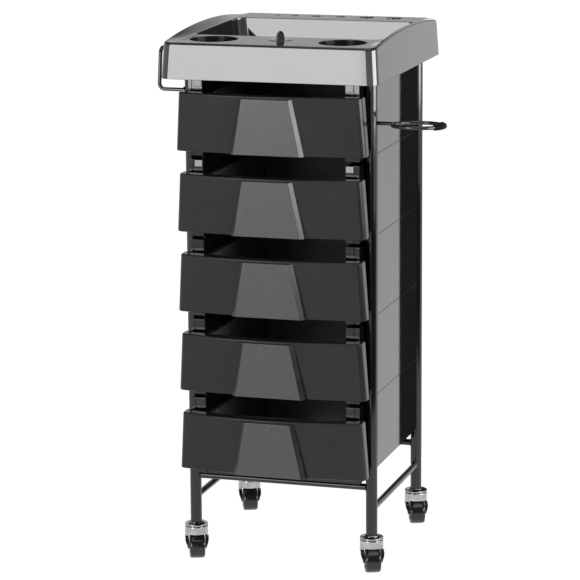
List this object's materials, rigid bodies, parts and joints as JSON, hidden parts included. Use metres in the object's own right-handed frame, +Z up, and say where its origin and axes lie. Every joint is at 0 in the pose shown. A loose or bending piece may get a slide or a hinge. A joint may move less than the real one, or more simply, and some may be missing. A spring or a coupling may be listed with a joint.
{
  "type": "rolling salon trolley",
  "caption": "Tall rolling salon trolley: tube frame on swivel casters, stacked sliding drawers with bowed fronts, a deep top tray, a towel bar and a dryer ring.",
  "frame": {"origin": "on the floor, under the middle of the whole trolley's box", "axes": "+Z up; the drawers open towards -Y; the towel bar is at -X and the dryer ring at +X"},
  "size_m": [0.4816, 0.432, 0.8814],
  "materials": {
    "frame_paint": "satin black painted steel tube",
    "panel_gloss": "glossy moulded black plastic",
    "tray_gloss": "glossy moulded black plastic with a fine even grain",
    "drawer_front": "satin charcoal moulded plastic",
    "basket_plastic": "black moulded plastic",
    "holder_rod": "dark polished steel rod",
    "sleeve_black": "black soft sleeve",
    "caster_chrome": "polished chrome pressing",
    "caster_black": "black moulded nylon",
    "axle_steel": "plain steel pin",
    "wheel_rubber": "black tread with a soft sheen"
  },
  "bodies": {
    "frame": {"leg_front_left": "frame_paint", "leg_front_right": "frame_paint", "leg_rear_left": "frame_paint", "leg_rear_right": "frame_paint", "rail_left": "frame_paint", "rail_right": "frame_paint", "rail_front": "frame_paint", "rail_rear": "frame_paint", "side_panel_left_1": "panel_gloss", "side_panel_left_2": "panel_gloss", "side_panel_left_3": "panel_gloss", "side_panel_left_4": "panel_gloss", "side_panel_left_5": "panel_gloss", "side_panel_right_1": "panel_gloss", "side_panel_right_2": "panel_gloss", "side_panel_right_3": "panel_gloss", "side_panel_right_4": "panel_gloss", "side_panel_right_5": "panel_gloss", "back_panel": "panel_gloss", "bottom_panel": "panel_gloss", "top_tray": "tray_gloss", "towel_bar": "holder_rod", "ring_holder": "holder_rod", "ring_sleeve": "sleeve_black", "caster_stem_front_left": "caster_chrome", "caster_stem_front_right": "caster_chrome", "caster_stem_rear_left": "caster_chrome", "caster_stem_rear_right": "caster_chrome"},
    "lid": {"centre_lid": "tray_gloss"},
    "drawer_1": {"drawer_front_1": "drawer_front", "basket_1": "basket_plastic"},
    "drawer_2": {"drawer_front_2": "drawer_front", "basket_2": "basket_plastic"},
    "drawer_3": {"drawer_front_3": "drawer_front", "basket_3": "basket_plastic"},
    "drawer_4": {"drawer_front_4": "drawer_front", "basket_4": "basket_plastic"},
    "drawer_5": {"drawer_front_5": "drawer_front", "basket_5": "basket_plastic"},
    "caster_front_left": {"caster_hood_front_left": "caster_chrome", "fork_front_left": "caster_black", "axle_front_left": "axle_steel"},
    "wheel_front_left": {"wheel_front_left": "wheel_rubber"},
    "caster_front_right": {"caster_hood_front_right": "caster_chrome", "fork_front_right": "caster_black", "axle_front_right": "axle_steel"},
    "wheel_front_right": {"wheel_front_right": "wheel_rubber"},
    "caster_rear_left": {"caster_hood_rear_left": "caster_chrome", "fork_rear_left": "caster_black", "axle_rear_left": "axle_steel"},
    "wheel_rear_left": {"wheel_rear_left": "wheel_rubber"},
    "caster_rear_right": {"caster_hood_rear_right": "caster_chrome", "fork_rear_right": "caster_black", "axle_rear_right": "axle_steel"},
    "wheel_rear_right": {"wheel_rear_right": "wheel_rubber"}
  },
  "joints": [
    {"name": "drawer_1_slide", "type": "slide", "parent": "frame", "child": "drawer_1", "axis": [0, -1, 0], "range_m": [0, 0.2]},
    {"name": "drawer_2_slide", "type": "slide", "parent": "frame", "child": "drawer_2", "axis": [0, -1, 0], "range_m": [0, 0.2]},
    {"name": "drawer_3_slide", "type": "slide", "parent": "frame", "child": "drawer_3", "axis": [0, -1, 0], "range_m": [0, 0.2]},
    {"name": "drawer_4_slide", "type": "slide", "parent": "frame", "child": "drawer_4", "axis": [0, -1, 0], "range_m": [0, 0.2]},
    {"name": "drawer_5_slide", "type": "slide", "parent": "frame", "child": "drawer_5", "axis": [0, -1, 0], "range_m": [0, 0.2]},
    {"name": "centre_lid_lift", "type": "slide", "parent": "frame", "child": "lid", "axis": [0, 0, 1], "range_m": [0, 0.03]},
    {"name": "caster_front_left_swivel", "type": "hinge", "parent": "frame", "child": "caster_front_left", "pos_m": [-0.1843, -0.1277, 0.055], "axis": [0, 0, 1], "continuous": true},
    {"name": "wheel_front_left_roll", "type": "hinge", "parent": "caster_front_left", "child": "wheel_front_left", "pos_m": [-0.1798, -0.13883, 0.02], "axis": [0.9272, 0.3746, 0], "continuous": true},
    {"name": "caster_front_right_swivel", "type": "hinge", "parent": "frame", "child": "caster_front_right", "pos_m": [0.1173, -0.1277, 0.055], "axis": [0, 0, 1], "continuous": true},
    {"name": "wheel_front_right_roll", "type": "hinge", "parent": "caster_front_right", "child": "wheel_front_right", "pos_m": [0.1218, -0.13883, 0.02], "axis": [0.9272, 0.3746, 0], "continuous": true},
    {"name": "caster_rear_left_swivel", "type": "hinge", "parent": "frame", "child": "caster_rear_left", "pos_m": [-0.1843, 0.1647, 0.055], "axis": [0, 0, 1], "continuous": true},
    {"name": "wheel_rear_left_roll", "type": "hinge", "parent": "caster_rear_left", "child": "wheel_rear_left", "pos_m": [-0.1798, 0.15357, 0.02], "axis": [0.9272, 0.3746, 0], "continuous": true},
    {"name": "caster_rear_right_swivel", "type": "hinge", "parent": "frame", "child": "caster_rear_right", "pos_m": [0.1173, 0.1647, 0.055], "axis": [0, 0, 1], "continuous": true},
    {"name": "wheel_rear_right_roll", "type": "hinge", "parent": "caster_rear_right", "child": "wheel_rear_right", "pos_m": [0.1218, 0.15357, 0.02], "axis": [0.9272, 0.3746, 0], "continuous": true}
  ]
}
